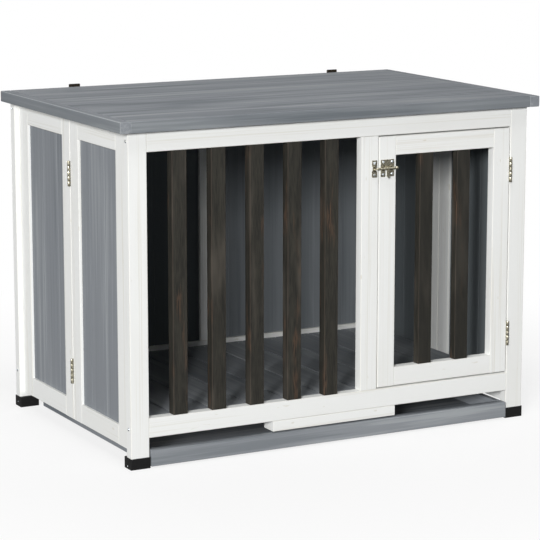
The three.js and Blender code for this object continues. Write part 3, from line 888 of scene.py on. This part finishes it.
def add_heads(name, places, outward, radius, body, crossed=False):
    """Round heads of screws or nails, modelled once and copied to each place."""
    rise = radius * HEAD_RISE
    master = add_rod("head", radius, (0, 0, -rise), (0, 0, rise), sides=16)
    bevel_edges(master, lambda middle, along: middle.z > rise * 0.9, width=rise * 1.5, segments=3)
    reach = radius * SLOT_REACH
    half = radius * SLOT_HALF_WIDTH
    bottom = rise * SLOT_BOTTOM
    for turn in (0, math.pi / 2) if crossed else ():
        slot_block = add_block("slot", (-reach, -half, bottom), (reach, half, rise * 2))
        slot_block.rotation_euler = (0, 0, turn)
        cut_away(master, apply_place(slot_block))
    paint_piece(master, small_finish("zinc"))
    smooth_faces(master)
    stand = outward.to_track_quat("Z", "Y").to_matrix().to_4x4()
    copies = []
    for number, place in enumerate(places):
        twist = Matrix.Rotation(NEXT_TURN * number + FIRST_TURN, 4, "Z")
        matrix = Matrix.Translation(Vector(place)) @ stand @ twist
        copies.append(copy_piece(master, f"{name}_{number}", matrix))
    bpy.data.objects.remove(master)
    return settle(join_pieces(copies, name), body, "nickel")


class CRATE_OT_post_screws(bpy.types.Operator):
    """Screws through the posts into the rails"""

    bl_idname = "crate.post_screws"
    bl_label = "Post Screws"
    heights = {"front": (0.5746, 0.0715), "rear": (0.5778, 0.0705)}

    def execute(self, context):
        for side, outward in SIDES:
            places = []
            for end, heights in self.heights.items():
                low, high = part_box(f"{end}_{side}_post")
                face = low.x if outward < 0 else high.x
                places += [(face, (low.y + high.y) / 2, height) for height in heights]
            add_heads(f"{side}_post_screws", places, Vector((outward, 0, 0)),
                      sizes().screw_radius, "root", crossed=True)
        return {"FINISHED"}


# ---- Hinges ----

BUTT_KNUCKLES = 5
LID_KNUCKLES = 3
PIN_RADIUS = 0.0011
# How far a pin stands out of its barrel at each end.
PIN_END = 0.0004
# How far the metal that wraps a knuckle reaches past the barrel, to its plate.
WRAP_REACH = 0.0003


def knuckle_spans(count, height):
    """Where the knuckles of a barrel along Z lie, about its middle."""
    gap = sizes().knuckle_gap
    pitch = (height + gap) / count
    starts = [-height / 2 + pitch * i for i in range(count)]
    return [(start, start + pitch - gap) for start in starts]


def add_leaf(height, count, own, plate_x, depth, slot, pin):
    """A hinge leaf. Its pin lies along Z through the origin, and its plate spreads along +Y.

    own gives the numbers of its knuckles, out of count from the bottom up.
    """
    radius = sizes().knuckle_radius
    reach = radius + WRAP_REACH
    plate = add_block("plate", (plate_x[0], reach, -height / 2), (plate_x[1], depth, height / 2))
    bevel_edges(plate, lambda middle, along: abs(along.x) > 0.9 and middle.y > reach,
                width=0.0015, segments=3)
    spans = knuckle_spans(count, height)
    start, end = spans[own[0]]
    knuckle = add_rod("knuckle", radius, (0, 0, start), (0, 0, end))
    bevel_edges(knuckle, runs_across(Z), width=0.0003, segments=2)
    wrap = add_block("wrap", (plate_x[0], 0, start), (plate_x[1], reach, end))
    parts = [plate, knuckle, wrap]
    for number in own[1:]:
        rise = Matrix.Translation((0, 0, spans[number][0] - start))
        parts += [copy_piece(part, part.name, rise) for part in (knuckle, wrap)]
    if pin:
        half = height / 2 + PIN_END
        rod = add_rod("pin", PIN_RADIUS, (0, 0, -half), (0, 0, half))
        bevel_edges(rod, runs_across(Z), width=PIN_END, segments=2)
        parts.append(rod)
    leaf = join_pieces(parts, "leaf")
    paint_piece(leaf, small_finish(slot))
    smooth_faces(leaf)
    return leaf


def copy_leaf(leaf, places, body, slot, ending="shaped"):
    """A copy of the leaf for each CAD node, in its place. The leaf itself is thrown away."""
    for node, place in places.items():
        settle(copy_piece(leaf, f"{node}_{ending}", place), body, slot, node)
    bpy.data.objects.remove(leaf)


class CRATE_OT_door_hinges(bpy.types.Operator):
    """Two butt hinges of the door, each a post leaf with its pin and a door leaf"""

    bl_idname = "crate.door_hinges"
    bl_label = "Door Hinges"
    leaf_gap = 0.0001

    def execute(self, context):
        radius = sizes().knuckle_radius
        axes = {}
        for level in ("lower", "upper"):
            low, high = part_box(f"{level}_door_hinge_post_leaf")
            axis = (low.x + radius, low.y + radius, (low.z + high.z) / 2)
            axes[level] = Matrix.Translation(axis)
        near = self.leaf_gap
        far = near + sizes().leaf_thickness
        for kind, body, own, plate_x in (("post", "root", (0, 2, 4), (near, far)),
                                         ("door", "door", (1, 3), (-far, -near))):
            leaf = add_leaf(high.z - low.z, BUTT_KNUCKLES, own, plate_x, high.y - low.y - radius,
                            "nickel", pin=kind == "post")
            places = {f"{level}_door_hinge_{kind}_leaf": place for level, place in axes.items()}
            copy_leaf(leaf, places, body, "nickel")
        return {"FINISHED"}


class CRATE_OT_panel_hinges(bpy.types.Operator):
    """Hinges between the two panels of a side, with their barrels outside"""

    bl_idname = "crate.panel_hinges"
    bl_label = "Panel Hinges"
    near = 0.00005
    far = 0.0006

    def execute(self, context):
        radius = sizes().knuckle_radius
        places = {}
        for side, outward in SIDES:
            turn = Matrix.Rotation(outward * math.pi / 2, 4, "Z")
            for level in ("lower", "upper"):
                node = f"{side}_{level}_panel_hinge"
                low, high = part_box(node)
                axis_x = low.x + radius if outward < 0 else high.x - radius
                axis = (axis_x, (low.y + high.y) / 2, (low.z + high.z) / 2)
                places[node] = Matrix.Translation(axis) @ turn
        for kind, own, plate_x in (("pin_leaf", (0, 2, 4), (self.near, self.far)),
                                   ("plain_leaf", (1, 3), (-self.far, -self.near))):
            leaf = add_leaf(high.z - low.z, BUTT_KNUCKLES, own, plate_x, high.x - low.x - radius,
                            "nickel", pin=kind == "pin_leaf")
            copy_leaf(leaf, places, "root", "nickel", kind)
        return {"FINISHED"}


class CRATE_OT_lid_hinges(bpy.types.Operator):
    """Two hinges behind the table top"""

    bl_idname = "crate.lid_hinges"
    bl_label = "Lid Hinges"
    thickness = 0.0015
    rail_gap = 0.0001

    def execute(self, context):
        radius = sizes().knuckle_radius
        pins = {}
        for side in ("left", "right"):
            low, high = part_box(f"{side}_lid_hinge_frame_leaf")
            pins[side] = Vector(((low.x + high.x) / 2, high.y - radius, high.z - radius))
        pin = pins["right"]
        near = pin.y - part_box("rear_top_rail")[1].y - self.rail_gap
        rightward = Vector((1, 0, 0))
        for kind, body, up, own in (("frame", "root", -1, (0, 2)), ("lid", "lid", 1, (1,))):
            spread = Vector((0, 0, up))
            across = spread.cross(rightward)
            turn = Matrix((across, spread, rightward)).transposed().to_4x4()
            towards_rail = -across.y
            plate_x = sorted((towards_rail * near, towards_rail * (near - self.thickness)))
            leaf = add_leaf(high.x - low.x, LID_KNUCKLES, own, plate_x, pin.z - low.z,
                            "black_steel", pin=kind == "frame")
            places = {f"{side}_lid_hinge_{kind}_leaf": Matrix.Translation(place) @ turn
                      for side, place in pins.items()}
            copy_leaf(leaf, places, body, "black_steel")
        return {"FINISHED"}


# ---- Barrel bolt ----


# Thickness of the plate and keeper, of the straps, and of the lever's tongue.
PLATE = 0.0012
STRAP = 0.0012
TONGUE = 0.0016
# From the left end of the plate: where its straps start, and where its notch lies.
STRAP_STARTS = (0.0013, 0.0191)
STRAP_WIDTH = 0.0035
NOTCH = (0.0088, 0.0127)
# How far below the rod's axis the notch ends.
NOTCH_DROP = 0.004
# Where the keeper's loop lies, from its left end.
LOOP = (0.0011, 0.0071)
ROD_RADIUS = 0.0024
BALL_RADIUS = 0.0033
BOLT_SCREW_RADIUS = 0.0028
# How far a cutter reaches past what it cuts.
PAST = 0.001


def bolt_axis():
    """The middle of the rod, which slides along X."""
    low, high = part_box("bolt_rod")
    return (low + high) / 2


def finish_metal(parts, node, body):
    """Joins the parts to a nickel piece that stands for a CAD node."""
    piece = join_pieces(parts, f"{node}_shaped")
    paint_piece(piece, small_finish("nickel"))
    smooth_faces(piece)
    settle(piece, body, "nickel", node)


def add_bolt_screws(name, xs, zs, face, body):
    """Crossed screw heads on a face, in every place of xs and zs."""
    places = [(x, face, z) for x in xs for z in zs]
    add_heads(name, places, Vector((0, -1, 0)), BOLT_SCREW_RADIUS, body, crossed=True)


def add_strap(left, right, inside, plate_face):
    """Half a ring over the rod, on two straight legs."""
    axis = bolt_axis()
    deselect_all()
    bpy.ops.mesh.primitive_plane_add(
        size=1, location=((left + right) / 2, axis.y, axis.z + inside + STRAP / 2))
    strap = take_new("strap")
    strap.rotation_euler = (math.pi / 2, 0, 0)
    strap.scale = (right - left, STRAP, 1)
    apply_place(strap)
    pick(strap, "FACE", lambda centre, normal: True)
    bpy.ops.mesh.spin(steps=14, angle=math.pi, center=(left, axis.y, axis.z), axis=(1, 0, 0))
    bpy.ops.mesh.select_all(action="SELECT")
    bpy.ops.mesh.remove_doubles(threshold=NEAR)
    bpy.ops.mesh.normals_make_consistent(inside=False)
    close_edit()
    leg = plate_face - axis.y
    pick(strap, "FACE", lambda centre, normal: abs(centre.y - axis.y) < NEAR)
    bpy.ops.mesh.extrude_region_move(TRANSFORM_OT_translate={"value": (0, leg, 0)})
    bpy.ops.mesh.select_all(action="SELECT")
    bpy.ops.mesh.normals_make_consistent(inside=False)
    close_edit()
    return strap


def add_bolt_plate():
    """The plate on the door, with a notch in its lower edge and two straps."""
    low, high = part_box("bolt_plate")
    face = high.y - PLATE
    plate = add_block("plate", (low.x, face, low.z), high)
    bevel_edges(plate, runs_along(Y), width=0.0016, segments=4)
    cut_away(plate, add_block("notch", (low.x + NOTCH[0], face - PAST, low.z - PAST),
                              (low.x + NOTCH[1], high.y + PAST, bolt_axis().z - NOTCH_DROP)))
    start, next_start = STRAP_STARTS
    inside = ROD_RADIUS + 0.00025
    strap = add_strap(low.x + start, low.x + start + STRAP_WIDTH, inside, face)
    next_strap = copy_piece(strap, "next_strap", Matrix.Translation((next_start - start, 0, 0)))
    finish_metal([plate, strap, next_strap], "bolt_plate", "door")
    inset = 0.0045
    add_bolt_screws("bolt_plate_screws", (low.x + inset, high.x - inset),
                    (low.z + inset, high.z - inset), face, "door")


def add_keeper():
    """Two lugs on the jamb, bridged by a loop that takes the rod."""
    low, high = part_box("bolt_keeper")
    face = high.y - PLATE
    inside = ROD_RADIUS + 0.0008
    overlap = 0.0003
    lug_height = bolt_axis().z - low.z - inside - STRAP + overlap
    loop = add_strap(low.x + LOOP[0], low.x + LOOP[1], inside, high.y)
    lug = add_block("lug", (low.x, face, low.z), (high.x, high.y, low.z + lug_height))
    bevel_edges(lug, runs_along(Y), width=0.0014, segments=4)
    rise = high.z - low.z - lug_height
    upper_lug = copy_piece(lug, "upper_lug", Matrix.Translation((0, 0, rise)))
    finish_metal([loop, lug, upper_lug], "bolt_keeper", "root")
    inset = 0.0048
    add_bolt_screws("bolt_keeper_screws", ((low.x + high.x) / 2,),
                    (low.z + inset, high.z - inset), face, "root")


def add_rod_and_ball():
    low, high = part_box("bolt_rod")
    axis = bolt_axis()
    centre = (high.x - BALL_RADIUS, axis.y, axis.z)
    rod = add_rod("rod", ROD_RADIUS, (low.x, axis.y, axis.z), centre)
    bevel_edges(rod, lambda middle, along: middle.x < low.x + NEAR, width=0.0008, segments=3)
    deselect_all()
    bpy.ops.mesh.primitive_uv_sphere_add(segments=24, ring_count=14, radius=BALL_RADIUS,
                                         location=centre)
    finish_metal([rod, apply_place(take_new("ball"))], "bolt_rod", "bolt")


def add_lever():
    """The ring on the rod, and the tongue that hangs from it."""
    low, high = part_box("bolt_lever")
    axis = bolt_axis()
    ring = add_rod("ring", high.z - axis.z, (low.x, axis.y, axis.z), (high.x, axis.y, axis.z))
    bevel_edges(ring, runs_across(X), width=0.0003, segments=2)
    bore = ROD_RADIUS + 0.0001
    cut_away(ring, add_rod("bore", bore, (low.x - PAST, axis.y, axis.z),
                           (high.x + PAST, axis.y, axis.z)))
    tongue = add_block("tongue", low, (high.x, low.y + TONGUE, axis.z - bore))
    bevel_edges(tongue, lambda middle, along: abs(along.y) > 0.9 and middle.z < low.z + NEAR,
                width=0.0010, segments=3)
    finish_metal([ring, tongue], "bolt_lever", "lever")


class CRATE_OT_bolt(bpy.types.Operator):
    """Barrel bolt: plate with two straps, keeper, rod with a ball end, and lever"""

    bl_idname = "crate.bolt"
    bl_label = "Barrel Bolt"

    def execute(self, context):
        add_bolt_plate()
        add_keeper()
        add_rod_and_ball()
        add_lever()
        return {"FINISHED"}


# ---- Stage ----

WHITE = (1, 1, 1, 1)


class CRATE_OT_stage(bpy.types.Operator):
    """Pale floor, white surroundings, soft light and the camera"""

    bl_idname = "crate.stage"
    bl_label = "Stage"
    floor_width = 24
    floor_drop = 0.0002
    # The floor keeps its shadow out to here, and fades to white from the first to the second.
    shadow_reach = (0.5, 1.3)
    # How much of the floor is white light close to the crate.
    near_glow = 0.78
    middle = (0, 0, 0.35)
    low_lamp = (1.8, 0.7)
    # Each lamp's place, the point that it faces, and its width and height.
    lamps = {
        "key": ((-8.45, -9.70, 3.68), middle, (2.8, 2.4)),
        "overhead": ((-0.45, -0.85, 3.0), (0, 0, 0.6), (0.9, 0.9)),
        "left": ((-3.6, -0.6, 0.42), middle, low_lamp),
        "right": ((3.2, 0.8, 0.42), middle, low_lamp),
        "rear": ((0.3, 3.4, 0.42), middle, low_lamp),
    }

    def execute(self, context):
        stage = context.scene.crate_stage
        self.add_floor()
        self.light_world(stage)
        for name, (place, target, size) in self.lamps.items():
            self.add_lamp(f"{name}_lamp", place, target, size, getattr(stage, name))
        self.add_camera(stage)
        context.scene.view_settings.view_transform = "Standard"
        return {"FINISHED"}

    def add_floor(self):
        deselect_all()
        bpy.ops.mesh.primitive_plane_add(size=self.floor_width,
                                         location=(0, 0, -self.floor_drop))
        floor = take_new("studio_floor")
        apply_place(floor)
        finish = new_finish("studio_floor")
        seen = finish.node("ShaderNodeLightPath", output="Is Camera Ray")
        matt_tone = finish.blend(shown("floor_bounce"), shown("floor"), seen)
        matt = finish.node("ShaderNodeBsdfDiffuse", {}, {"Color": matt_tone})
        white = finish.node("ShaderNodeEmission", {}, {"Color": WHITE, "Strength": 1.0})
        reach = finish.node("ShaderNodeVectorMath", {"operation": "LENGTH"}, {0: finish.place()},
                            "Value")
        glow = finish.spread(reach, *self.shadow_reach, self.near_glow, 1.0)
        shader = finish.node("ShaderNodeMixShader", {}, {0: seen * glow, 1: matt, 2: white})
        finish.node("ShaderNodeOutputMaterial", {}, {"Surface": shader})
        paint_piece(floor, finish.owner)

    def light_world(self, stage):
        """White where the camera or a gloss sees it, and weak light for the rest."""
        bpy.context.scene.world = bpy.data.worlds.new("studio")
        studio = Finish(bpy.context.scene.world)
        camera = studio.node("ShaderNodeLightPath", output="Is Camera Ray")
        gloss = studio.node("ShaderNodeLightPath", output="Is Glossy Ray")
        seen = studio.node("ShaderNodeMath", {"operation": "MAXIMUM"}, {0: camera, 1: gloss})
        strength = seen * (1 - stage.sky) + stage.sky
        sky = studio.node("ShaderNodeBackground", {}, {"Color": WHITE, "Strength": strength})
        studio.node("ShaderNodeOutputWorld", {}, {"Surface": sky})

    def add_lamp(self, name, place, target, size, power):
        deselect_all()
        bpy.ops.object.light_add(type="AREA", location=place)
        lamp = bpy.context.object
        lamp.name = name
        lamp.data.shape = "RECTANGLE"
        lamp.data.size, lamp.data.size_y = size
        lamp.data.energy = power
        lamp.visible_camera = False
        aim = Vector(target) - Vector(place)
        lamp.rotation_euler = aim.to_track_quat("-Z", "Y").to_euler()

    def add_camera(self, stage):
        deselect_all()
        bpy.ops.object.camera_add(location=stage.camera_place,
                                  rotation=(math.pi / 2 - stage.camera_drop, 0, -stage.camera_turn))
        camera = bpy.context.object
        camera.name = "camera"
        camera.data.lens = stage.camera_lens
        camera.data.sensor_width = 36
        camera.data.clip_end = 100
        bpy.context.scene.camera = camera


# ---- Panel and registration ----

OPERATORS = (
    CRATE_OT_stage,
    CRATE_OT_frame_timbers,
    CRATE_OT_bars,
    CRATE_OT_rear_boards,
    CRATE_OT_side_panels,
    CRATE_OT_table_top,
    CRATE_OT_door,
    CRATE_OT_floor_panel,
    CRATE_OT_tray,
    CRATE_OT_feet,
    CRATE_OT_post_screws,
    CRATE_OT_door_hinges,
    CRATE_OT_panel_hinges,
    CRATE_OT_lid_hinges,
    CRATE_OT_bolt,
)


class CRATE_PT_pieces(bpy.types.Panel):
    """Lists the crate's pieces in the sidebar"""

    bl_idname = "CRATE_PT_pieces"
    bl_label = "Dog Crate End Table"
    bl_space_type = "VIEW_3D"
    bl_region_type = "UI"
    bl_category = "Crate"

    def draw(self, context):
        for operator in OPERATORS:
            self.layout.operator(operator.bl_idname)


SETTINGS = {"crate_sizes": CrateSizes, "crate_colours": CrateColours, "crate_stage": CrateStage}


def register():
    for cls in (*SETTINGS.values(), *OPERATORS, CRATE_PT_pieces):
        bpy.utils.register_class(cls)
    for name, group in SETTINGS.items():
        setattr(bpy.types.Scene, name, PointerProperty(type=group))


def unregister():
    for name in SETTINGS:
        delattr(bpy.types.Scene, name)
    for cls in reversed((*SETTINGS.values(), *OPERATORS, CRATE_PT_pieces)):
        bpy.utils.unregister_class(cls)


def main():
    register()
    for operator in OPERATORS:
        group, name = operator.bl_idname.split(".")
        getattr(getattr(bpy.ops, group), name)()


if __name__ == "__main__":
    main()
